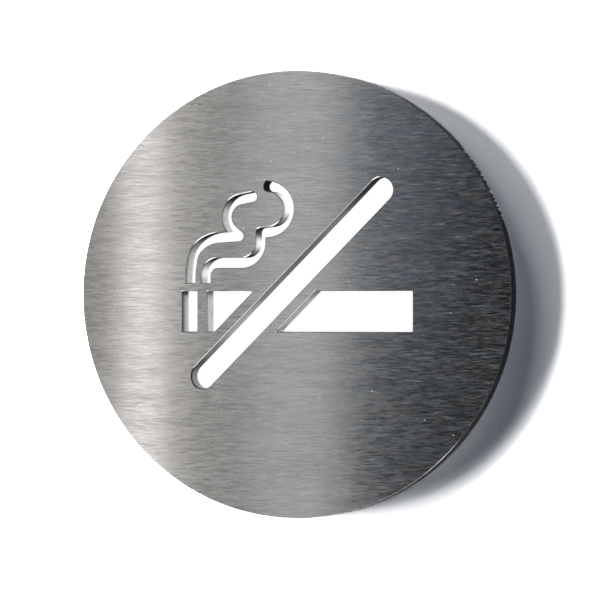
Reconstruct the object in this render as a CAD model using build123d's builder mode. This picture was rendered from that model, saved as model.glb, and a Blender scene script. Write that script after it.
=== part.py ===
"""No smoking sign: a round plate of brushed stainless steel with its pictogram cut right through.

Millimetres and degrees. The plate stands upright as it hangs on a wall: +X to the right, +Z up,
and the wall behind it on the +Y side. The origin is the centre of the plate's back face.
"""

from build123d import *
import os

os.makedirs("parts", exist_ok=True)

# Sheet
plate_diameter = 100.0
plate_thickness = 5.0
edge_break = 0.15
corner_radius = 0.25

# Cigarette: a short ember, a bar of plate, and the long body that the diagonal crosses
cigarette_left = -26.45
cigarette_top = 0.75
cigarette_length = 53.95
cigarette_height = 9.1
ember_length = 3.7
ember_bar = 2.2

# Diagonal: a slot with round ends, and the bars of plate that are left beside it
diagonal_x = -0.7
diagonal_z = 2.4
diagonal_length = 64.6
diagonal_width = 5.7
diagonal_angle = 45.0
diagonal_bar = 2.25

# Smoke: two slots of one width that start above the ember
smoke_width = 2.3
smoke_gap = 1.8
smoke_inset = 2.05
smoke_spacing = 3.6
pierce_radius = 0.2
pierce_angle = 115.0

# Left curl: stem from the foot to the elbow, then the head back over it
left_stem_radius = 31.5
left_stem_turn = 10.0
left_shoulder_radius = 4.8
left_shoulder_turn = 35.0
left_crest_radius = 7.6
left_crest_turn = 41.5
left_run = 4.65
left_head_angle = 139.0
left_head_run = 1.9
left_head_radius = 4.05
left_head_turn = 128.0
left_tip_run = 2.8

# Right curl: stem from the foot to the upper corner, then the open loop
right_rise = 1.65
right_shoulder_radius = 2.9
right_run = 5.5
right_elbow_radius = 4.5
right_neck = 2.2
right_head_angle = 6.0
right_head_run = 2.1
right_head_radius = 5.1
right_head_turn = 171.0

# Places that follow from the sizes
body_left = cigarette_left + ember_length + ember_bar
body_length = cigarette_length - ember_length - ember_bar
cigarette_middle = cigarette_top - cigarette_height / 2
diagonal_centre = (diagonal_x, diagonal_z)
band_width = diagonal_width + 2 * diagonal_bar
left_foot = (cigarette_left + smoke_inset, cigarette_top + smoke_gap)
right_foot = (left_foot[0] + smoke_spacing, left_foot[1])


with BuildPart() as sign_plate:
    # Disc, from the back face at y = 0 forward
    with BuildSketch(Plane.XZ):
        Circle(plate_diameter / 2)
    extrude(amount=plate_thickness)

    # Cigarette, parted by the bar behind the ember and by the band of the diagonal; it is drawn
    # in by the corner radius and out again, which rounds every corner
    with BuildSketch(Plane.XZ):
        with Locations((cigarette_left, cigarette_middle)):
            Rectangle(ember_length, cigarette_height, align=(Align.MIN, Align.CENTER))
        with Locations((body_left, cigarette_middle)):
            Rectangle(body_length, cigarette_height, align=(Align.MIN, Align.CENTER))
        with Locations(diagonal_centre):
            Rectangle(diagonal_length, band_width, rotation=diagonal_angle, mode=Mode.SUBTRACT)
        offset(amount=-corner_radius, kind=Kind.INTERSECTION, mode=Mode.REPLACE)
        offset(amount=corner_radius, kind=Kind.ARC, mode=Mode.REPLACE)
    extrude(amount=plate_thickness, mode=Mode.SUBTRACT)

    # Diagonal
    with BuildSketch(Plane.XZ):
        with Locations(diagonal_centre):
            SlotOverall(diagonal_length, diagonal_width, rotation=diagonal_angle)
    extrude(amount=plate_thickness, mode=Mode.SUBTRACT)

    # Left curl: the stem bends right to the elbow, and the head turns back over it
    with BuildSketch(Plane.XZ) as left_curl:
        with BuildLine():
            stem = JernArc(left_foot, (0, 1), left_stem_radius, -left_stem_turn)
            shoulder = JernArc(stem @ 1, stem % 1, left_shoulder_radius, -left_shoulder_turn)
            crest = JernArc(shoulder @ 1, shoulder % 1, left_crest_radius, -left_crest_turn)
            run = PolarLine(crest @ 1, left_run, direction=crest % 1)
        trace(line_width=smoke_width)
        with BuildLine():
            back = PolarLine(run @ 1, left_head_run, left_head_angle)
            head = JernArc(back @ 1, back % 1, left_head_radius, -left_head_turn)
            tip = PolarLine(head @ 1, left_tip_run, direction=head % 1)
        trace(line_width=smoke_width)
        with Locations(run @ 1, tip @ 1):
            Circle(smoke_width / 2)
        fillet(left_curl.vertices().sort_by(Axis.Y)[:2], corner_radius)
    extrude(amount=plate_thickness, mode=Mode.SUBTRACT)

    # Right curl: the stem steps right and up to the corner, and the head is an open loop
    with BuildSketch(Plane.XZ) as right_curl:
        with BuildLine():
            rise = PolarLine(right_foot, right_rise, 90)
            shoulder = JernArc(rise @ 1, rise % 1, right_shoulder_radius, -90)
            run = PolarLine(shoulder @ 1, right_run, 0)
            elbow = JernArc(run @ 1, run % 1, right_elbow_radius, 90)
            neck = PolarLine(elbow @ 1, right_neck, 90)
        trace(line_width=smoke_width)
        with BuildLine():
            out = PolarLine(neck @ 1, right_head_run, right_head_angle)
            head = JernArc(out @ 1, out % 1, right_head_radius, right_head_turn)
        trace(line_width=smoke_width)
        with Locations(neck @ 1, head @ 1):
            Circle(smoke_width / 2)
        fillet(right_curl.vertices().sort_by(Axis.Y)[:2], corner_radius)
    extrude(amount=plate_thickness, mode=Mode.SUBTRACT)

    # Deburred bevel all round the front
    chamfer(sign_plate.faces().sort_by(Axis.Y)[0].edges(), edge_break)

    # Nick in the open loop's end, where the cut broke through first
    with BuildSketch(Plane.XZ):
        with Locations(head @ 1):
            with PolarLocations(smoke_width / 2 + edge_break, 1, start_angle=pierce_angle):
                Circle(pierce_radius)
    extrude(amount=plate_thickness, mode=Mode.SUBTRACT)

sign_plate.part.label = "sign_plate"
export_step(sign_plate.part, "parts/sign_plate.step")
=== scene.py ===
"""No smoking sign: a round plate of brushed steel with its pictogram cut through, on a pale wall.

Metres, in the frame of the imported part: +X to the right, +Y into the wall, +Z up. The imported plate
gives the outlines. The dressed plate follows them with finer facets, a bevel round the front that
is worn off most of the rim, the marks of the cutting beam on the cut walls, and a brushed face.
"""

import logging
import math
from collections.abc import Iterator
from dataclasses import dataclass, field
from enum import Enum

import bmesh
import bpy
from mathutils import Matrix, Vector, noise


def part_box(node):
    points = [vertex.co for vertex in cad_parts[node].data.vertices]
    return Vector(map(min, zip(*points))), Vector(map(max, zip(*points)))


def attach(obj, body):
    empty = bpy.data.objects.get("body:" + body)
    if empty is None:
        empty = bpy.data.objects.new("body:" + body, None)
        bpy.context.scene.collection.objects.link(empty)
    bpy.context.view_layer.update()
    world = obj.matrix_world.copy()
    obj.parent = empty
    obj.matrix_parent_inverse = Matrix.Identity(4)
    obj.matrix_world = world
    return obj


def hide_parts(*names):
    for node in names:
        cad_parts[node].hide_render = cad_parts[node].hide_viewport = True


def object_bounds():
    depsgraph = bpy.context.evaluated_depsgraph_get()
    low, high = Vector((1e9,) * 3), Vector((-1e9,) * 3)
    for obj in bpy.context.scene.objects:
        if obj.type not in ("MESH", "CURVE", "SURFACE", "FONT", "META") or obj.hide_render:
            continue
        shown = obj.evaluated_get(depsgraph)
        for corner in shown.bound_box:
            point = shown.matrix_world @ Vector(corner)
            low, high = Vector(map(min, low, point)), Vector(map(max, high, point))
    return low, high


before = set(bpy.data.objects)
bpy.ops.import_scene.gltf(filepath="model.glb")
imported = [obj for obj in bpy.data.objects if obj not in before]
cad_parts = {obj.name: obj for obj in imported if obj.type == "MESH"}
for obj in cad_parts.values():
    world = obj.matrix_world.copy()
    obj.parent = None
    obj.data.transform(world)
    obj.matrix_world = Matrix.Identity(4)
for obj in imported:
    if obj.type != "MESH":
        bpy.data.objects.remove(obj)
CAD_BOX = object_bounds()

MM = 0.001
TOUCH = 0.001 * MM
KEYS_PER_MM = 1e4
HALF = 0.5

log = logging.getLogger("sign")

Colour = tuple[float, float, float]
Span = tuple[float, float]
Value = float | tuple[float, ...] | bpy.types.NodeSocket
Side = tuple[tuple[int, int], tuple[int, int]]
Ring = list[bmesh.types.BMVert]

WHITE: Colour = (1.0, 1.0, 1.0)
# Painted shade: near black, for cut walls that stand in shade
PAINTED_SHADE: Colour = (0.02, 0.02, 0.025)
# Painted highlight: near white, for cut walls made lighter than their light makes them
PAINTED_HIGHLIGHT: Colour = (1.0, 1.0, 0.97)

# Scales of an object's own coordinates: as they are, and laid flat on the plane of the plate
WHOLE = Vector((1.0, 1.0, 1.0))
FLAT = Vector((1.0, 0.0, 1.0))

# Sockets of a Mix node that carry colours
MIX_LOW, MIX_HIGH, MIX_RESULT = 6, 7, 2


class Region(Enum):
    """Part of the plate's skin, by the slot of its finish in the mesh."""

    FACE = 0
    EDGE = 1
    WALL = 2
    BACK = 3
    RIM = 4


def kept_share(value: float) -> float:
    """Returns a value kept between 0 and 1."""
    return min(1.0, max(0.0, value))


def with_cover(colour: Value) -> Value:
    """Returns a constant colour with full cover as its fourth number, and a socket as it is."""
    return (*colour, 1.0) if isinstance(colour, tuple) else colour


@dataclass(frozen=True)
class StainOrPaintedLight:
    """A soft spot of colour, at a place in x and z, that may reach only some way in from the front. It
    serves for a real stain and for painted shade and painted highlights.
    """

    place: tuple[float, float]
    radius: float
    colour: Colour
    strength: float
    soft: float = 1.0
    reach: float = 0.0
    matt: bool = False

    @classmethod
    def in_mm(cls, x: float, z: float, radius: float, colour: Colour, strength: float, soft: float = 1.0,
              reach: float = 0.0, matt: bool = False) -> "StainOrPaintedLight":
        """Returns a stain whose place and sizes are given in millimetres.

        Args:
            x: place to the right.
            z: place upward.
            radius: distance at which the stain ends.
            colour: colour of the stain.
            strength: how far it covers the steel in its middle, from 0 to 1.
            soft: share of the radius over which it fades.
            reach: depth behind the front at which it ends, or 0 for one that goes right through.
            matt: whether it takes the steel's shine away.

        Returns:
            The stain, in metres.
        """
        return cls((x * MM, z * MM), radius * MM, colour, strength, soft, reach * MM, matt)


@dataclass(frozen=True)
class Grains:
    """Noise of grains of a size along each axis. The shift moves it, so that layers differ."""

    size: Vector
    shift: float
    detail: float = 2.0
    sharp: float = 0.5


@dataclass(frozen=True)
class Rows:
    """Noise in straight level rows of a height, with grains of a length.

    The shift moves it, so that layers differ, and the jump parts each row's pattern from the next.
    """

    length: float
    height: float
    shift: float
    jump: float = 7.31
    detail: float = 2.0
    sharp: float = 0.5


class Graph:
    """A node tree under construction."""

    def __init__(self, tree: bpy.types.NodeTree) -> None:
        """Takes over a tree and empties it."""
        self.tree = tree
        tree.nodes.clear()

    def node(self, kind: str, inputs: dict[str | int, Value] | None = None,
             **settings: object) -> bpy.types.Node:
        """Adds a node.

        Args:
            kind: Blender's name for the node type.
            inputs: socket name or number to a constant or to the socket that feeds it.
            settings: properties of the node itself.

        Returns:
            The new node.
        """
        made = self.tree.nodes.new(kind)
        for name, value in settings.items():
            setattr(made, name, value)
        for name, value in (inputs or {}).items():
            if isinstance(value, bpy.types.NodeSocket):
                self.tree.links.new(value, made.inputs[name])
            else:
                made.inputs[name].default_value = value
        return made

    def math(self, operation: str, *values: Value) -> bpy.types.NodeSocket:
        """Returns the result of a Math node on one to three values."""
        return self.node("ShaderNodeMath", dict(enumerate(values)), operation=operation).outputs[0]

    def vector(self, operation: str, first: Value, second: Value) -> bpy.types.NodeSocket:
        """Returns the result of a Vector Math node on two vectors or colours."""
        return self.node("ShaderNodeVectorMath", {0: first, 1: second}, operation=operation).outputs[0]

    def scaled(self, value: Value, factor: Value) -> bpy.types.NodeSocket:
        """Returns a vector or colour times a factor."""
        return self.node("ShaderNodeVectorMath", {0: value, "Scale": factor}, operation="SCALE").outputs[0]

    def weighted(self, *layers: tuple[Value, float]) -> bpy.types.NodeSocket:
        """Returns the sum of some layers, each times its weight.

        Args:
            layers: pairs of a value and its weight.

        Returns:
            The sum.
        """
        (value, weight), *others = layers
        total = self.math("MULTIPLY", value, weight)
        for value, weight in others:
            total = self.math("MULTIPLY_ADD", value, weight, total)
        return total

    def blend(self, share: Value, low: Value, high: Value) -> bpy.types.NodeSocket:
        """Returns a colour that goes from low to high as share goes from 0 to 1."""
        inputs = {"Factor": share, MIX_LOW: with_cover(low), MIX_HIGH: with_cover(high)}
        return self.node("ShaderNodeMix", inputs, data_type="RGBA").outputs[MIX_RESULT]

    def step(self, value: Value, span: Span, low: float = 0.0, high: float = 1.0) -> bpy.types.NodeSocket:
        """Returns a smooth step from low at the span's start to high at its end."""
        inputs = {"Value": value, "From Min": span[0], "From Max": span[1], "To Min": low, "To Max": high}
        return self.node("ShaderNodeMapRange", inputs, interpolation_type="SMOOTHSTEP").outputs[0]

    def bump(self, height: Value, groove: float) -> bpy.types.NodeSocket:
        """Returns the normal over marks as deep as the groove."""
        return self.node("ShaderNodeBump", {"Height": height, "Distance": groove}).outputs[0]

    def place(self, scale: Vector, shift: Vector = Vector()) -> bpy.types.NodeSocket:
        """Reads where on the object a point is.

        Args:
            scale: stretches the object's own coordinates.
            shift: moves them afterwards.

        Returns:
            The coordinates.
        """
        where = self.node("ShaderNodeTexCoord").outputs["Object"]
        inputs = {"Vector": where, "Scale": tuple(scale), "Location": tuple(shift)}
        return self.node("ShaderNodeMapping", inputs).outputs[0]

    def parts(self, scale: Vector = WHOLE) -> bpy.types.bpy_prop_collection:
        """Returns x, y and z of the object's own coordinates, stretched by scale."""
        return self.node("ShaderNodeSeparateXYZ", {0: self.place(scale)}).outputs

    def distance(self, x: float = 0.0, z: float = 0.0) -> bpy.types.NodeSocket:
        """Returns the distance from the level line through a place in x and z."""
        where = self.place(FLAT, Vector((-x, 0.0, -z)))
        return self.node("ShaderNodeVectorMath", {0: where}, operation="LENGTH").outputs["Value"]

    def behind_front(self, reach: float, share: float) -> bpy.types.NodeSocket:
        """Returns a share at the plate's front face, which fades to 0 at the reach behind it."""
        front = CAD_BOX[0][1]
        return self.step(self.parts()[1], (front, front + reach), share, 0.0)

    def texture(self, where: Value, detail: float, sharp: float) -> bpy.types.NodeSocket:
        """Returns noise between 0 and 1, with about one grain to a unit."""
        inputs = {"Vector": where, "Scale": 1.0, "Detail": detail, "Roughness": sharp}
        return self.node("ShaderNodeTexNoise", inputs).outputs[0]

    def speckle(self, grains: Grains) -> bpy.types.NodeSocket:
        """Makes a noise of grains.

        Args:
            grains: size and kind of the grains.

        Returns:
            The noise, between 0 and 1.
        """
        size = grains.size
        scale = Vector((1 / size.x, 1 / size.y, 1 / size.z))
        where = self.place(scale, Vector((grains.shift, grains.shift, grains.shift)))
        return self.texture(where, grains.detail, grains.sharp)

    def rows(self, rows: Rows) -> bpy.types.NodeSocket:
        """Makes a noise in level rows, each with its own pattern along x.

        Args:
            rows: size and kind of the rows.

        Returns:
            The noise, between 0 and 1.
        """
        parts = self.parts(Vector((1 / rows.length, 1.0, 1 / rows.height)))
        row = self.math("FLOOR", self.math("ADD", parts[2], rows.shift))
        apart = self.math("MULTIPLY", row, rows.jump)
        where = self.node("ShaderNodeCombineXYZ", {0: parts[0], 1: apart, 2: rows.shift}).outputs[0]
        return self.texture(where, rows.detail, rows.sharp)

    def spot(self, stain: StainOrPaintedLight) -> bpy.types.NodeSocket:
        """Works out how far a stain, or a spot of painted shade or painted highlight, covers the surface.

        Args:
            stain: the stain.

        Returns:
            A share, from 0 outside the stain to its strength in the middle.
        """
        span = (stain.radius * (1 - stain.soft), stain.radius)
        cover = self.step(self.distance(*stain.place), span, stain.strength, 0.0)
        if stain.reach:
            cover = self.math("MULTIPLY", cover, self.behind_front(stain.reach, 1.0))
        return cover


def new_material(name: str) -> tuple[bpy.types.Material, Graph]:
    """Makes a material that uses nodes.

    Args:
        name: the material's name.

    Returns:
        The material, and its empty graph.
    """
    material = bpy.data.materials.new(name)
    material.use_nodes = True
    return material, Graph(material.node_tree)


@dataclass(frozen=True)
class BrushedFace:
    """Stainless steel brushed level: fine grain, long streaks, faint tints, a nick here and there painted
    white as a glint, and a stain.
    """

    name: str = "steel_brushed"
    anisotropy: float = 0.9

    # Tone of the steel, from three layers of noise, with scratches in the low end of a fourth
    dark: Colour = (0.50, 0.50, 0.495)
    light: Colour = (0.745, 0.745, 0.735)
    tone_span: Span = (0.36, 0.64)
    line: Rows = Rows(2.8 * MM, 0.165 * MM, 0.3)
    line_weight: float = 0.5
    streak: Rows = Rows(5.0 * MM, 0.18 * MM, 3.1)
    streak_weight: float = 0.36
    cloud: Grains = Grains(Vector((22.0, 1.0, 2.2)) * MM, 7.7, 1.0)
    cloud_weight: float = 0.14
    scratch: Rows = Rows(4.2 * MM, 0.155 * MM, 9.4)
    scratch_span: Span = (0.28, 0.40)
    scratch_dark: float = 0.9

    # Polish, which the lines and the scratches share
    polish_line: float = 0.6
    polish_scratch: float = 0.4
    polish_span: Span = (0.38, 0.66)
    smooth: float = 0.24
    rough: float = 0.48
    grain: Grains = Grains(Vector((2.4, 1.0, 0.15)) * MM, 0.0, 3.0, 0.65)
    groove: float = 0.005 * MM

    # Faint tints, which grow from the middle to the right
    cool: Colour = (0.94, 0.99, 1.09)
    warm: Colour = (1.01, 0.99, 0.94)
    tint: Grains = Grains(Vector((7.0, 1.0, 1.2)) * MM, 5.3)
    tint_span: Span = (0.35, 0.65)
    tint_side: Span = (0.0, 45 * MM)
    tint_least: float = 0.12

    # Burrs of fine hair lines, which scatter a little of the light
    hair: Rows = Rows(2.6 * MM, 0.165 * MM, 12.6)
    dust_span: Span = (0.46, 0.74)
    dust: float = 0.16

    # A nick here and there, painted white as a glint, and the stain near the right edge
    nick_spacing: float = 6.0 * MM
    nick_radius: float = 0.15 * MM
    nick_share: float = 0.16
    nick_dust: float = 0.5
    nick_rough: float = 0.9
    stain: StainOrPaintedLight = StainOrPaintedLight.in_mm(42.3, -25.6, 0.7, (0.45, 0.28, 0.14), 0.6)

    def build(self) -> bpy.types.Material:
        """Makes the material.

        Returns:
            The material.
        """
        material, graph = new_material(self.name)
        line = graph.rows(self.line)
        scratch = graph.rows(self.scratch)
        nicks_with_painted_glint = self.nicks_with_painted_glint(graph)
        polish = graph.weighted((scratch, self.polish_scratch), (line, self.polish_line))
        rough = graph.step(polish, self.polish_span, self.smooth, self.rough)
        steel = graph.node("ShaderNodeBsdfPrincipled", {
            "Base Color": self.colour(graph, line, scratch, nicks_with_painted_glint),
            "Metallic": self.bare(graph, nicks_with_painted_glint),
            "Roughness": graph.math("MAXIMUM", rough, graph.math("MULTIPLY", nicks_with_painted_glint, self.nick_rough)),
            "Anisotropic": self.anisotropy,
            "Tangent": self.across(graph),
            "Normal": graph.bump(graph.speckle(self.grain), self.groove),
        })
        graph.node("ShaderNodeOutputMaterial", {"Surface": steel.outputs[0]})
        return material

    def colour(self, graph: Graph, line: Value, scratch: Value, nicks_with_painted_glint: Value) -> bpy.types.NodeSocket:
        """Works out the colour of the steel.

        Args:
            graph: the material's graph.
            line: the fine lines, which the roughness shares.
            scratch: the noise whose low end is scratches, which the roughness shares.
            nicks_with_painted_glint: where each nick is, painted white as a glint.

        Returns:
            The colour.
        """
        streak = graph.rows(self.streak)
        cloud = graph.speckle(self.cloud)
        tone = graph.weighted(
            (streak, self.streak_weight), (line, self.line_weight), (cloud, self.cloud_weight)
        )
        steel = graph.blend(graph.step(tone, self.tone_span), self.dark, self.light)
        steel = graph.scaled(steel, graph.step(scratch, self.scratch_span, self.scratch_dark, 1.0))
        tint = graph.blend(graph.step(graph.speckle(self.tint), self.tint_span), self.cool, self.warm)
        beside = graph.step(graph.parts()[0], self.tint_side, self.tint_least, 1.0)
        steel = graph.vector("MULTIPLY", steel, graph.blend(beside, WHITE, tint))
        # Painted glint: each nick white
        steel = graph.blend(nicks_with_painted_glint, steel, WHITE)
        return graph.blend(graph.spot(self.stain), steel, self.stain.colour)

    def bare(self, graph: Graph, nicks_with_painted_glint: Value) -> bpy.types.NodeSocket:
        """Works out the share of bare metal, which burrs and nicks take a little of.

        Args:
            graph: the material's graph.
            nicks_with_painted_glint: where each nick is, painted white as a glint.

        Returns:
            The share, near 1.
        """
        dusty = graph.step(graph.rows(self.hair), self.dust_span, 0.0, self.dust)
        dusty = graph.math("MAXIMUM", dusty, graph.math("MULTIPLY", nicks_with_painted_glint, self.nick_dust))
        return graph.math("SUBTRACT", 1.0, dusty)

    def nicks_with_painted_glint(self, graph: Graph) -> bpy.types.NodeSocket:
        """Places the nick marks, each painted white as a glint: small dots, in a few of the cells of a
        loose grid.

        Args:
            graph: the material's graph.

        Returns:
            1 in a nick, and 0 elsewhere.
        """
        x, _, z = graph.parts(WHOLE / self.nick_spacing)
        where = graph.node("ShaderNodeCombineXYZ", {0: x, 1: z}).outputs[0]
        cell = graph.node("ShaderNodeTexVoronoi", {"Vector": where, "Scale": 1.0}, voronoi_dimensions="2D")
        dot = graph.math("LESS_THAN", cell.outputs["Distance"], self.nick_radius / self.nick_spacing)
        lot = graph.node("ShaderNodeSeparateColor", {0: cell.outputs["Color"]}).outputs[0]
        return graph.math("MULTIPLY", dot, graph.math("LESS_THAN", lot, self.nick_share))

    @staticmethod
    def across(graph: Graph) -> bpy.types.NodeSocket:
        """Finds the direction across the grain, in which the highlight spreads.

        Args:
            graph: the material's graph.

        Returns:
            The direction.
        """
        up = graph.node("ShaderNodeCombineXYZ", {"Z": 1.0}).outputs[0]
        turn = {"vector_type": "VECTOR", "convert_from": "OBJECT", "convert_to": "WORLD"}
        return graph.node("ShaderNodeVectorTransform", {0: up}, **turn).outputs[0]


@dataclass(frozen=True)
class PlainSteel:
    """Steel with no brushing: two noises, one for each direction that marks can run in.

    It may have painted shade near the front, and spots of painted shade and painted highlight.
    """

    name: str
    dark: Colour
    light: Colour
    roughness: float
    lines: Vector
    bands: Vector
    lines_shift: float = 1.3
    bands_shift: float = 2.9
    tone_span: Span = (0.35, 0.65)
    roughness_swing: float = 0.2
    groove: float = 0.006 * MM
    # Painted shade: the cut walls darker and matt near the front, fading over the reach behind it
    front_shade: float = 0.0
    front_shade_reach: float = 1.6 * MM
    front_shade_colour: Colour = (0.03, 0.03, 0.035)
    # Spots of painted shade and painted highlight
    shade_and_highlight_spots: tuple[StainOrPaintedLight, ...] = ()

    def build(self) -> bpy.types.Material:
        """Makes the material.

        Returns:
            The material.
        """
        material, graph = new_material(self.name)
        lines = graph.speckle(Grains(self.lines, self.lines_shift))
        bands = graph.speckle(Grains(self.bands, self.bands_shift))
        both = graph.weighted((bands, HALF), (lines, HALF))
        steel = graph.blend(graph.step(both, self.tone_span), self.dark, self.light)
        colour, matt = self.marked(graph, steel)
        least = self.roughness - self.roughness_swing / 2
        rough = graph.math("MULTIPLY_ADD", both, self.roughness_swing, least)
        if matt is None:
            shine = {"Metallic": 1.0, "Roughness": rough}
        else:
            metal = graph.math("SUBTRACT", 1.0, matt)
            shine = {"Metallic": metal, "Roughness": graph.math("MAXIMUM", rough, matt)}
        inputs = {"Base Color": colour, "Normal": graph.bump(both, self.groove), **shine}
        steel = graph.node("ShaderNodeBsdfPrincipled", inputs)
        graph.node("ShaderNodeOutputMaterial", {"Surface": steel.outputs[0]})
        return material

    def marked(self, graph: Graph, colour: Value) -> tuple[Value, Value | None]:
        """Adds the painted shade near the front, and the spots of painted shade and highlight, to the
        steel's colour.

        Args:
            graph: the material's graph.
            colour: colour of the clean steel.

        Returns:
            The colour with its marks, and the share that they make matt, or None where none does.
        """
        matt: Value | None = None
        # Painted shade near the front of the walls
        if self.front_shade:
            matt = graph.behind_front(self.front_shade_reach, self.front_shade)
            colour = graph.blend(matt, colour, self.front_shade_colour)
        for spot in self.shade_and_highlight_spots:
            cover = graph.spot(spot)
            colour = graph.blend(cover, colour, spot.colour)
            if spot.matt:
                matt = cover if matt is None else graph.math("MAXIMUM", matt, cover)
        return colour, matt


BEVEL_STEEL = PlainSteel(
    name="steel_edge",
    dark=(0.62, 0.62, 0.61),
    light=(0.75, 0.75, 0.74),
    roughness=0.18,
    lines=Vector((0.4, 0.4, 0.4)) * MM,
    bands=Vector((2.0, 2.0, 2.0)) * MM,
)

RIM_STEEL = PlainSteel(
    name="steel_rim",
    dark=(0.52, 0.52, 0.52),
    light=(0.72, 0.72, 0.72),
    roughness=0.28,
    lines=Vector((0.18, 3.0, 0.18)) * MM,
    bands=Vector((3.0, 0.6, 3.0)) * MM,
    # Painted shade: the right of the rim dark and bluish, where it faces the plate's shadow
    shade_and_highlight_spots=(StainOrPaintedLight.in_mm(52, 14, 62, (0.20, 0.21, 0.25), 0.95, soft=0.6),),
)

BACK_STEEL = PlainSteel(
    name="steel_back",
    dark=(0.52, 0.52, 0.515),
    light=(0.60, 0.60, 0.595),
    roughness=0.38,
    lines=Vector((0.5, 0.5, 0.5)) * MM,
    bands=Vector((14.0, 14.0, 1.2)) * MM,
)

CUT_STEEL = PlainSteel(
    name="steel_cut",
    dark=(0.30, 0.31, 0.31),
    light=(0.56, 0.57, 0.56),
    roughness=0.32,
    lines=Vector((0.18, 3.0, 0.18)) * MM,
    bands=Vector((3.0, 0.45, 3.0)) * MM,
    # Painted shade near the front of the cut walls
    front_shade=0.6,
    shade_and_highlight_spots=(
        # Cigarette: painted shade on the ember's left wall and on the tops of both walls beside it, then
        # painted highlights on the diagonal's long wall and on the wall of the band beside it, and painted
        # shade on the diagonal above the cigarette
        StainOrPaintedLight.in_mm(-26.5, -3.8, 5.6, (0.015, 0.02, 0.025), 0.62, soft=0.2, reach=4.6, matt=True),
        StainOrPaintedLight.in_mm(-26.2, 0.9, 2.4, PAINTED_SHADE, 0.8, matt=True),
        StainOrPaintedLight.in_mm(-20.4, 0.9, 2.4, PAINTED_SHADE, 0.6, matt=True),
        StainOrPaintedLight.in_mm(-12.5, -7.0, 9.0, PAINTED_HIGHLIGHT, 1.0, soft=0.7),
        StainOrPaintedLight.in_mm(0.9, -4.2, 6.5, PAINTED_HIGHLIGHT, 1.0, soft=0.5),
        StainOrPaintedLight.in_mm(2.7, 8.8, 11.0, (0.20, 0.20, 0.21), 0.85, soft=0.7),
        # Painted shade at the ends: the diagonal's foot, the right curl's loop, and the diagonal's head
        StainOrPaintedLight.in_mm(-21.5, -18.4, 5.0, (0.09, 0.10, 0.13), 0.9, soft=0.4),
        StainOrPaintedLight.in_mm(-21.8, -18.1, 5.0, (0.02, 0.02, 0.03), 0.95, soft=0.4, reach=2.6, matt=True),
        StainOrPaintedLight.in_mm(-6.6, 24.1, 2.4, (0.012, 0.012, 0.018), 1.0, soft=0.25, matt=True),
        StainOrPaintedLight.in_mm(19.8, 25.2, 18.0, PAINTED_SHADE, 0.85, soft=0.9, matt=True),
        # Painted shade on the shoulders of the two curls
        StainOrPaintedLight.in_mm(-20.4, 11.4, 3.2, PAINTED_SHADE, 0.75, soft=0.9, matt=True),
        StainOrPaintedLight.in_mm(-14.6, 22.6, 4.6, PAINTED_SHADE, 0.85, soft=0.9, matt=True),
        StainOrPaintedLight.in_mm(-8.6, 14.4, 2.8, PAINTED_SHADE, 0.8, matt=True),
        StainOrPaintedLight.in_mm(-11.8, 8.4, 3.0, (0.10, 0.10, 0.11), 0.9, soft=0.7),
        # Painted highlights on stretches of the right curl
        StainOrPaintedLight.in_mm(-20.9, 5.0, 2.4, WHITE, 1.0, soft=0.8),
        StainOrPaintedLight.in_mm(-8.4, 11.2, 2.1, WHITE, 1.0, soft=0.7),
        StainOrPaintedLight.in_mm(-2.2, 20.4, 4.0, WHITE, 1.0, soft=0.6),
    ),
)


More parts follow.
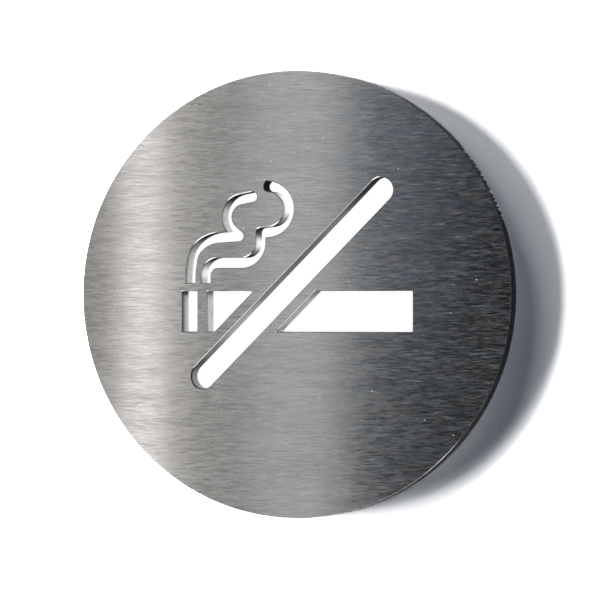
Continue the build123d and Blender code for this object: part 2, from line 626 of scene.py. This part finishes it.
@dataclass
class Outline:
    """A closed outline of the plate in x and z, with the plate on its right seen from the front."""

    points: list[Vector]
    uneven: float = 2.2
    mitre_least: float = 0.3

    def sides_at(self, i: int) -> tuple[Vector, Vector]:
        """Returns the side that ends at a point, and the side that starts there."""
        here = self.points[i]
        return here - self.points[i - 1], self.points[(i + 1) % len(self.points)] - here

    def turn(self, i: int) -> float:
        """Returns how far the outline turns at a point, in radians."""
        before, after = self.sides_at(i)
        return abs(before.angle_signed(after, 0.0))

    def tangent(self, i: int, corner: float) -> Vector | None:
        """Finds the direction of the true curve at a point.

        Args:
            i: number of the point.
            corner: least turn that counts as a sharp corner.

        Returns:
            None at a sharp corner, and elsewhere a unit vector: the longer side's direction where a
            straight side meets an arc, or that of the circle through the point and its neighbours.
        """
        if self.turn(i) > corner:
            return None
        before, after = self.sides_at(i)
        if before.length > self.uneven * after.length:
            return before.normalized()
        if after.length > self.uneven * before.length:
            return after.normalized()
        return (before.normalized() * after.length + after.normalized() * before.length).normalized()

    def refined(self, step: float, corner: float, room: float) -> "Outline":
        """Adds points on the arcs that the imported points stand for.

        Args:
            step: longest distance between two points.
            corner: least turn that counts as a sharp corner.
            room: length beside a sharp corner that gets no new point.

        Returns:
            The finer outline.
        """
        count = len(self.points)
        tangents = [self.tangent(i, corner) for i in range(count)]
        fine = []
        for i, start in enumerate(self.points):
            end = self.points[(i + 1) % count]
            chord = end - start
            length = chord.length
            leaving, reaching = tangents[i], tangents[(i + 1) % count]
            out = (leaving or chord.normalized()) * length
            into = (reaching or chord.normalized()) * length
            pieces = max(1, math.ceil(length / step))
            fine.append(start)
            for k in range(1, pieces):
                u = k / pieces
                near_start = leaving is None and u * length < room
                near_end = reaching is None and (1 - u) * length < room
                if not near_start and not near_end:
                    fine.append(self.on_curve(start, out, end, into, u))
        return Outline(fine)

    @staticmethod
    def on_curve(start: Vector, out: Vector, end: Vector, into: Vector, u: float) -> Vector:
        """Finds a point on a cubic curve.

        Args:
            start: point where the curve starts.
            out: direction there, as long as the curve.
            end: point where it ends.
            into: direction there, as long as the curve.
            u: share of the way along it.

        Returns:
            The point.
        """
        return (
            start * (2 * u**3 - 3 * u**2 + 1)
            + out * (u**3 - 2 * u**2 + u)
            + end * (3 * u**2 - 2 * u**3)
            + into * (u**3 - u**2)
        )

    def away(self) -> list[Vector]:
        """Finds at each point the step away from the plate that moves both its sides by one unit.

        Returns:
            One step for each point.
        """
        sides = []
        for i in range(len(self.points)):
            along = self.sides_at(i)[1].normalized()
            sides.append(Vector((-along.y, along.x)))
        mitres = []
        for i, side in enumerate(sides):
            total = (sides[i - 1] + side).normalized()
            mitres.append(total / max(self.mitre_least, total.dot(side)))
        return mitres


@dataclass(frozen=True)
class Stretch:
    """A stretch of the rim with soft ends, between two angles from +X, in degrees."""

    start: float
    end: float
    fade: float

    def within(self, point: Vector, most: float) -> float:
        """Finds how far inside the stretch a point of the rim is.

        Args:
            point: the point.
            most: the most that is returned.

        Returns:
            The distance to the nearer end, with the fade as its unit, and below 0 outside.
        """
        angle, fade = math.atan2(point.y, point.x), math.radians(self.fade)
        from_start = (angle - math.radians(self.start)) / fade
        to_end = (math.radians(self.end) - angle) / fade
        return min(from_start, to_end, most)


@dataclass(frozen=True)
class RimNotches:
    """Coarse notches that the beam left on a stretch of the rim."""

    stretch: Stretch
    pitch: float = 1.1 * MM
    depth: float = 0.2 * MM
    pointed: int = 2
    wobble: float = 0.8
    wobble_pace: float = 0.7

    def depth_at(self, point: Vector) -> float:
        """Finds how deep the notches are at a point of the rim.

        Args:
            point: the point.

        Returns:
            The depth, 0 outside the stretch.
        """
        inside = self.stretch.within(point, 1.0)
        if inside <= 0.0:
            return 0.0
        run = math.atan2(point.y, point.x) * point.length / self.pitch
        wobble = self.wobble * noise.noise(Vector((run * self.wobble_pace, 0.0, 0.0)))
        wave = HALF - HALF * math.cos(2 * math.pi * (run + wobble))
        return self.depth * inside * wave**self.pointed


@dataclass(frozen=True)
class RimBevel:
    """The bevel of the rim: whole on one stretch, and mostly worn off elsewhere."""

    whole: Stretch = Stretch(-43, -30, 12)
    least: float = 0.12
    worn: float = 0.55
    patch: float = 2.5 * MM

    def share_at(self, point: Vector) -> float:
        """Finds how much of the bevel is left at a point of the rim.

        Args:
            point: the point.

        Returns:
            The share of the full bevel.
        """
        outside = self.whole.within(point, 0.0)
        patches = noise.noise(Vector((point.x, 0.0, point.y)) / self.patch)
        wear = self.worn * kept_share(HALF + patches)
        return max(self.least, (1.0 + outside * (1.0 - self.least)) * (1.0 - wear))


@dataclass
class SignPlate:
    """The plate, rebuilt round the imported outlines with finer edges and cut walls."""

    node: str = "sign_plate"
    body: str = "root"
    slot: str = "plate"
    name: str = "brushed_plate"
    sample: float = 0.16 * MM
    sharp_corner: float = math.radians(30)

    # Bevel, and the rim's notches, which are shallower at the front
    edge_break: float = 0.15 * MM
    edge_steps: int = 1
    rim_bevel: RimBevel = RimBevel()
    rim_notches: tuple[RimNotches, ...] = (
        RimNotches(Stretch(18, 42, 3)),
        RimNotches(Stretch(-78, -62, 3)),
    )
    notch_front: float = 0.6

    # Marks of the beam on the cut walls, which deepen and lag behind toward the back
    wall_steps: int = 5
    beam_mark: float = 0.9 * MM
    beam_depth_front: float = 0.006 * MM
    beam_depth_back: float = 0.035 * MM
    beam_deepening: float = 1.5
    beam_lag: float = 0.5 * MM
    beam_lagging: int = 2

    # Weight and pace of the marks' coarse and fine noise
    beam_coarse: tuple[float, float] = (0.55, 2.0)
    beam_fine: tuple[float, float] = (0.45, 5.1)

    finishes: dict[Region, BrushedFace | PlainSteel] = field(default_factory=lambda: {
        Region.FACE: BrushedFace(),
        Region.EDGE: BEVEL_STEEL,
        Region.WALL: CUT_STEEL,
        Region.BACK: BACK_STEEL,
        Region.RIM: RIM_STEEL,
    })

    def thickness(self) -> float:
        """Returns the sheet's thickness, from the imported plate."""
        low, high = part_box(self.node)
        return high.y - low.y

    def is_rim(self, outline: Outline) -> bool:
        """Returns whether an outline is the plate's own, and not an opening's."""
        return max(p.length for p in outline.points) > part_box(self.node)[1].x - self.edge_break

    def back_sides(self) -> set[Side]:
        """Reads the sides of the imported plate's back faces.

        Returns:
            The two ends of each side, in the order in which its face runs, as whole numbers.
        """
        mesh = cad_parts[self.node].data
        back = max(v.co.y for v in mesh.vertices) - TOUCH
        onward: set[Side] = set()
        for polygon in mesh.polygons:
            corners = [mesh.vertices[i].co for i in polygon.vertices]
            if min(c.y for c in corners) < back:
                continue
            keys = [(round(c.x / MM * KEYS_PER_MM), round(c.z / MM * KEYS_PER_MM)) for c in corners]
            onward.update(zip(keys, keys[1:] + keys[:1]))
        return onward

    def outlines(self) -> Iterator[Outline]:
        """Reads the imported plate's outlines from the free sides of its back faces.

        Yields:
            The outline of the plate, and of each opening.
        """
        onward = self.back_sides()
        free = {start: end for start, end in onward if (end, start) not in onward}
        while free:
            first = key = min(free)
            loop = []
            while key in free:
                loop.append(Vector(key) * (MM / KEYS_PER_MM))
                key = free.pop(key)
            assert key == first, "an outline of the packed plate isn't closed"
            yield Outline(loop)

    def mark(self, point: Vector) -> float:
        """Finds how deep the beam's mark is at a point of the outline.

        Args:
            point: the point.

        Returns:
            A share from 0 to 1.
        """
        spot = self.at(point, 0.0) / self.beam_mark
        layers = [weight * noise.noise(spot * pace) for weight, pace in (self.beam_coarse, self.beam_fine)]
        return kept_share(HALF + layers[0] + layers[1])

    @staticmethod
    def at(point: Vector, y: float) -> Vector:
        """Returns the place in space of a point of an outline at a depth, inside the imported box."""
        low, high = CAD_BOX
        return Vector((min(max(point.x, low[0]), high[0]), y, min(max(point.y, low[2]), high[2])))

    def rings(self, outline: Outline) -> list[list[Vector]]:
        """Places an outline's rings of vertices, from the front face over the bevel to the back.

        Args:
            outline: a refined outline.

        Returns:
            One list of points for each ring.
        """
        thick = self.thickness()
        rim = self.is_rim(outline)
        bevels = [self.edge_break * (self.rim_bevel.share_at(p) if rim else 1.0) for p in outline.points]
        notches = [sum(n.depth_at(p) for n in self.rim_notches) if rim else 0.0 for p in outline.points]
        corners = list(zip(outline.points, outline.away(), bevels, notches))
        made = []
        for k in range(self.edge_steps + 1):
            share = k / self.edge_steps
            ring = []
            for point, away, bevel, notch in corners:
                inward = away * (bevel * (1 - share) + notch * self.notch_front)
                ring.append(self.at(point - inward, bevel * share - thick))
            made.append(ring)
        for k in range(1, self.wall_steps + 1):
            share = k / self.wall_steps
            deeper = (self.beam_depth_back - self.beam_depth_front) * share**self.beam_deepening
            ring = []
            for point, away, bevel, notch in corners:
                lag = Vector((away.y, -away.x)).normalized() * (self.beam_lag * share**self.beam_lagging)
                cut = (self.beam_depth_front + deeper) * self.mark(point + lag)
                cut += notch * (self.notch_front + (1 - self.notch_front) * share)
                ring.append(self.at(point - away * cut, (bevel - thick) * (1 - share)))
            made.append(ring)
        return made

    @staticmethod
    def ring_edges(bm: bmesh.types.BMesh, ring: Ring) -> list[bmesh.types.BMEdge]:
        """Returns the edges that join a ring's vertices."""
        return [bm.edges.get((ring[i - 1], ring[i])) for i in range(len(ring))]

    def skin(self, bm: bmesh.types.BMesh, outline: Outline, rings: list[Ring]) -> None:
        """Makes the bevel and the cut wall between an outline's rings.

        Args:
            bm: the mesh under construction.
            outline: the refined outline.
            rings: its vertices, ring by ring from the front.
        """
        side = Region.RIM if self.is_rim(outline) else Region.WALL
        count = len(outline.points)
        sharp = [i for i in range(count) if outline.turn(i) > self.sharp_corner]
        for k, (near, far) in enumerate(zip(rings, rings[1:])):
            region = Region.EDGE if k < self.edge_steps else side
            for i in range(count):
                j = (i + 1) % count
                quad = bm.faces.new((near[i], far[i], far[j], near[j]))
                quad.material_index = region.value
                quad.smooth = True
            for i in sharp:
                bm.edges.get((near[i], far[i])).smooth = False
        for edge in self.ring_edges(bm, rings[self.edge_steps]):
            edge.smooth = False

    @staticmethod
    def cap(bm: bmesh.types.BMesh, region: Region, edges: list[bmesh.types.BMEdge]) -> None:
        """Fills the front or the back face.

        Args:
            bm: the mesh under construction.
            region: which of the two it is.
            edges: the edges round the face and its openings.
        """
        normal = (0, -1, 0) if region is Region.FACE else (0, 1, 0)
        made = bmesh.ops.triangle_fill(bm, edges=edges, use_beauty=True, normal=normal)
        for face in made["geom"]:
            if isinstance(face, bmesh.types.BMFace):
                face.material_index = region.value
        for edge in edges:
            edge.smooth = False

    def mesh(self) -> bpy.types.Mesh:
        """Makes the plate's mesh, closed, with a finish for each region.

        Returns:
            The mesh.
        """
        bm = bmesh.new()
        front: list[bmesh.types.BMEdge] = []
        back: list[bmesh.types.BMEdge] = []
        for packed in self.outlines():
            outline = packed.refined(self.sample, self.sharp_corner, 2 * self.edge_break)
            rings = [[bm.verts.new(point) for point in ring] for ring in self.rings(outline)]
            self.skin(bm, outline, rings)
            front += self.ring_edges(bm, rings[0])
            back += self.ring_edges(bm, rings[-1])
        self.cap(bm, Region.FACE, front)
        self.cap(bm, Region.BACK, back)
        bmesh.ops.recalc_face_normals(bm, faces=bm.faces)
        mesh = bpy.data.meshes.new(self.name)
        bm.to_mesh(mesh)
        bm.free()
        return mesh

    def build(self) -> list[bpy.types.Object]:
        """Makes the dressed plate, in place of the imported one.

        Returns:
            The plate.
        """
        mesh = self.mesh()
        for region in Region:
            mesh.materials.append(self.finishes[region].build())
        plate = bpy.data.objects.new(self.name, mesh)
        bpy.context.scene.collection.objects.link(plate)
        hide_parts(self.node)
        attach(plate, self.body)
        return [plate]


def upright_sheet(name: str, half_x: float, half_z: float, y: float) -> bpy.types.Object:
    """Makes an upright rectangle about the origin that faces -Y.

    Args:
        name: the object's name.
        half_x: half its width.
        half_z: half its height.
        y: its place along Y.

    Returns:
        The new object.
    """
    corners = [(-half_x, y, -half_z), (half_x, y, -half_z), (half_x, y, half_z), (-half_x, y, half_z)]
    mesh = bpy.data.meshes.new(name)
    mesh.from_pydata(corners, [], [(0, 1, 2, 3)])
    made = bpy.data.objects.new(name, mesh)
    bpy.context.scene.collection.objects.link(made)
    return made


@dataclass
class PaleWall:
    """The wall behind the plate, which glows white to the camera behind the openings: painted light over
    the plate's shadow there. Neither the wall nor the glow shows from behind.
    """

    half_width: float = 3.0
    behind: float = 0.02 * MM
    paint: Colour = (0.80, 0.80, 0.81)
    paint_seen: Colour = (3.11, 3.13, 3.17)
    # Radius behind the plate within which the wall glows white to the camera: painted light
    painted_light_radius: float = 49.6 * MM
    clear_radius: float = 50.02 * MM

    def build(self) -> list[bpy.types.Object]:
        """Makes the wall.

        Returns:
            The wall.
        """
        wall = upright_sheet("wall", self.half_width, self.half_width, self.behind)
        wall.data.materials.append(self.finish())
        return [wall]

    def finish(self) -> bpy.types.Material:
        """Makes the wall's paint, overexposed to the camera, and the painted light behind the openings,
        where the wall glows white to the camera over the plate's shadow.

        Returns:
            The material, which steel sees nothing of behind the plate.
        """
        material, graph = new_material("wall_paint")
        path = graph.node("ShaderNodeLightPath")
        colour = graph.blend(path.outputs["Is Camera Ray"], self.paint, self.paint_seen)
        paint = graph.node("ShaderNodeBsdfDiffuse", {"Color": colour})
        white = graph.node("ShaderNodeEmission", {"Strength": 1.0})
        clear = graph.node("ShaderNodeBsdfTransparent")
        distance = graph.distance()
        # Painted light: behind the plate the wall glows white to the camera, over the plate's own shadow
        painted_light_behind = graph.math("LESS_THAN", distance, self.painted_light_radius)
        covered = graph.math("LESS_THAN", distance, self.clear_radius)
        seen = graph.math("MULTIPLY", painted_light_behind, path.outputs["Is Camera Ray"])
        mirrored = graph.math("MULTIPLY", covered, path.outputs["Is Glossy Ray"])
        from_behind = graph.node("ShaderNodeNewGeometry").outputs["Backfacing"]
        gone = graph.math("MAXIMUM", from_behind, mirrored)
        front = graph.node("ShaderNodeMixShader", {0: seen, 1: paint.outputs[0], 2: white.outputs[0]})
        both = graph.node("ShaderNodeMixShader", {0: gone, 1: front.outputs[0], 2: clear.outputs[0]})
        graph.node("ShaderNodeOutputMaterial", {"Surface": both.outputs[0]})
        return material


@dataclass(frozen=True)
class Glow:
    """An upright band of light on the reflector, with soft sides and a level low down and high up."""

    left: float
    right: float
    soft_left: float
    soft_right: float
    low: float
    high: float
    tint: Colour = WHITE

    def left_span(self) -> Span:
        """Returns where the light rises."""
        return self.left - self.soft_left / 2, self.left + self.soft_left / 2

    def right_span(self) -> Span:
        """Returns where the light falls off."""
        return self.right - self.soft_right / 2, self.right + self.soft_right / 2


@dataclass
class Reflector:
    """The upright screen in front of the plate that only polished things show."""

    distance: float = 60.0 * MM
    half_width: float = 350.0 * MM
    half_height: float = 120.0 * MM
    fade_height: float = 55.0 * MM
    glows: tuple[Glow, ...] = (
        Glow(-350 * MM, -40 * MM, 20 * MM, 14 * MM, 0.34, 0.39, (1.05, 1.0, 0.94)),
        Glow(-40 * MM, -4 * MM, 14 * MM, 14 * MM, 0.34, 0.41, (0.99, 1.0, 0.99)),
        Glow(-4 * MM, 19 * MM, 14 * MM, 46 * MM, 0.05, 0.20, (0.87, 0.97, 1.17)),
        Glow(-60.5 * MM, -50 * MM, 4 * MM, 6 * MM, 1.34, 1.10, (1.04, 1.0, 1.0)),
        Glow(-28 * MM, -6 * MM, 9 * MM, 11 * MM, 0.24, 0.24, (0.98, 1.0, 1.02)),
        Glow(52 * MM, 350 * MM, 16 * MM, 10 * MM, 0.45, 0.45),
    )

    def build(self) -> bpy.types.Object:
        """Makes the screen.

        Returns:
            The screen.
        """
        screen = upright_sheet("reflector", self.half_width, self.half_height, -self.distance)
        screen.data.materials.append(self.finish())
        screen.visible_camera = False
        screen.visible_diffuse = False
        screen.visible_shadow = False
        screen.visible_transmission = False
        return screen

    def finish(self) -> bpy.types.Material:
        """Makes the screen's light, the sum of its glows.

        Returns:
            The material.
        """
        material, graph = new_material("reflector_light")
        where = graph.node("ShaderNodeTexCoord").outputs["Object"]
        x, _, z = graph.node("ShaderNodeSeparateXYZ", {0: where}).outputs
        total: Value = (0.0, 0.0, 0.0)
        for glow in self.glows:
            rise = graph.step(x, glow.left_span())
            fall = graph.step(x, glow.right_span(), 1.0, 0.0)
            level = graph.step(z, (-self.fade_height, self.fade_height), glow.low, glow.high)
            level = graph.math("MULTIPLY", graph.math("MULTIPLY", rise, fall), level)
            total = graph.vector("ADD", total, graph.scaled(glow.tint, level))
        light = graph.node("ShaderNodeEmission", {"Color": total})
        graph.node("ShaderNodeOutputMaterial", {"Surface": light.outputs[0]})
        return material


@dataclass(frozen=True)
class Sun:
    """A far soft lamp that lights the wall.

    It stands a way to the right and up for each unit out from the wall, looks some degrees wide and
    gives a share of the light.
    """

    name: str
    right: float
    up: float
    width: float
    share: float

    def build(self, wall_level: float) -> bpy.types.Object:
        """Makes the lamp, which polished things don't show.

        Args:
            wall_level: light that all the lamps together give a white wall.

        Returns:
            The lamp.
        """
        toward = Vector((self.right, -1.0, self.up)).normalized()
        lamp = bpy.data.lights.new(self.name, "SUN")
        lamp.angle = math.radians(self.width)
        lamp.energy = math.pi * wall_level * self.share / -toward.y
        made = bpy.data.objects.new(self.name, lamp)
        made.rotation_euler = toward.to_track_quat("Z", "Y").to_euler()
        made.visible_glossy = False
        bpy.context.scene.collection.objects.link(made)
        return made


@dataclass
class Studio:
    """The lamps on the wall, the room round the plate, and the screen that the plate mirrors."""

    wall_level: float = 0.88
    suns: tuple[Sun, ...] = (
        Sun("lamp_left_lowest", -2.72, -0.78, 14.6, 0.08),
        Sun("lamp_left_low", -2.72, -0.30, 14.6, 0.28),
        Sun("lamp_left_high", -2.72, 0.52, 14.6, 0.55),
        Sun("lamp_upper_left", -1.85, 2.0, 40, 0.09),
    )
    reflector: Reflector = field(default_factory=Reflector)
    ambient: Colour = (0.026, 0.029, 0.035)

    # What steel mirrors of the room: dark low at the left, then a middle level, light at the upper
    # right, all of it dimmer in front of the plate, and a bright floor except at the left
    room_dark: float = 0.02
    room_middle: float = 0.43
    room_light: float = 1.1
    light_span: Span = (-0.45, 0.3)
    middle_span: Span = (-0.42, -0.28)
    behind_span: Span = (0.2, 0.5)
    before_share: float = 0.12
    floor_light: float = 2.9
    floor_span: Span = (-0.95, -0.74)
    floor_side: Span = (-0.28, -0.05)

    def build(self) -> list[bpy.types.Object]:
        """Lights the scene.

        Returns:
            The lamps and the screen.
        """
        lamps = [sun.build(self.wall_level) for sun in self.suns]
        screen = self.reflector.build()
        self.room()
        return [*lamps, screen]

    def room(self) -> None:
        """Makes the world: white to the camera, dim on the wall, and shaded for polished steel."""
        world = bpy.data.worlds.new("room")
        world.use_nodes = True
        bpy.context.scene.world = world
        graph = Graph(world.node_tree)
        toward = graph.node("ShaderNodeTexCoord").outputs["Generated"]
        x, y, z = graph.node("ShaderNodeSeparateXYZ", {0: toward}).outputs
        slant = graph.math("ADD", x, z)
        sides = graph.step(slant, self.light_span, self.room_dark, self.room_light)
        middle = graph.step(slant, self.middle_span, self.room_dark, self.room_middle)
        sides = graph.math("MAXIMUM", sides, middle)
        sides = graph.math("MULTIPLY", sides, graph.step(y, self.behind_span, self.before_share, 1.0))
        floor = graph.step(z, self.floor_span, self.floor_light, 0.0)
        floor = graph.math("MULTIPLY", floor, graph.step(x, self.floor_side))
        mirrored = graph.math("MAXIMUM", sides, floor)
        path = graph.node("ShaderNodeLightPath")
        direct = graph.math("LESS_THAN", path.outputs["Diffuse Depth"], HALF)
        polished = graph.math("MULTIPLY", path.outputs["Is Glossy Ray"], direct)
        level = graph.blend(polished, self.ambient, mirrored)
        level = graph.blend(path.outputs["Is Camera Ray"], level, WHITE)
        light = graph.node("ShaderNodeBackground", {"Color": level})
        graph.node("ShaderNodeOutputWorld", {"Surface": light.outputs[0]})


@dataclass
class Viewpoint:
    """The camera, to the right of the plate and level with it, with a long lens."""

    name: str = "viewpoint"
    aim: Vector = field(default_factory=lambda: Vector((1.4, -5.0, -1.25)) * MM)
    azimuth: float = math.radians(17.0)
    distance: float = 1.0
    nearest: float = 0.01
    sensor: float = 36.0
    field_side: float = 134.0 * MM

    def build(self) -> list[bpy.types.Object]:
        """Makes the camera and gives it to the scene.

        Returns:
            The camera.
        """
        toward = Vector((math.sin(self.azimuth), -math.cos(self.azimuth), 0.0))
        data = bpy.data.cameras.new(self.name)
        data.sensor_width = self.sensor
        data.lens = self.sensor * self.distance / self.field_side
        data.clip_start = self.nearest
        camera = bpy.data.objects.new(self.name, data)
        camera.location = self.aim + toward * self.distance
        camera.rotation_euler = toward.to_track_quat("Z", "Y").to_euler()
        bpy.context.scene.collection.objects.link(camera)
        bpy.context.scene.camera = camera
        return [camera]


def report(assembly: str, piece: bpy.types.Object) -> None:
    """Logs a piece, with its number of faces where it is a mesh."""
    faces = f", {len(piece.data.polygons)} faces" if piece.type == "MESH" else ""
    log.info("%s: %s%s", assembly, piece.name, faces)


def main() -> None:
    """Builds the plate, what it hangs on, its light and the camera, and reports each piece."""
    logging.basicConfig(level=logging.INFO, format="%(name)s %(message)s")
    bpy.context.scene.view_settings.view_transform = "Standard"
    for assembly in (SignPlate(), PaleWall(), Studio(), Viewpoint()):
        for piece in assembly.build():
            report(type(assembly).__name__, piece)


if __name__ == "__main__":
    main()
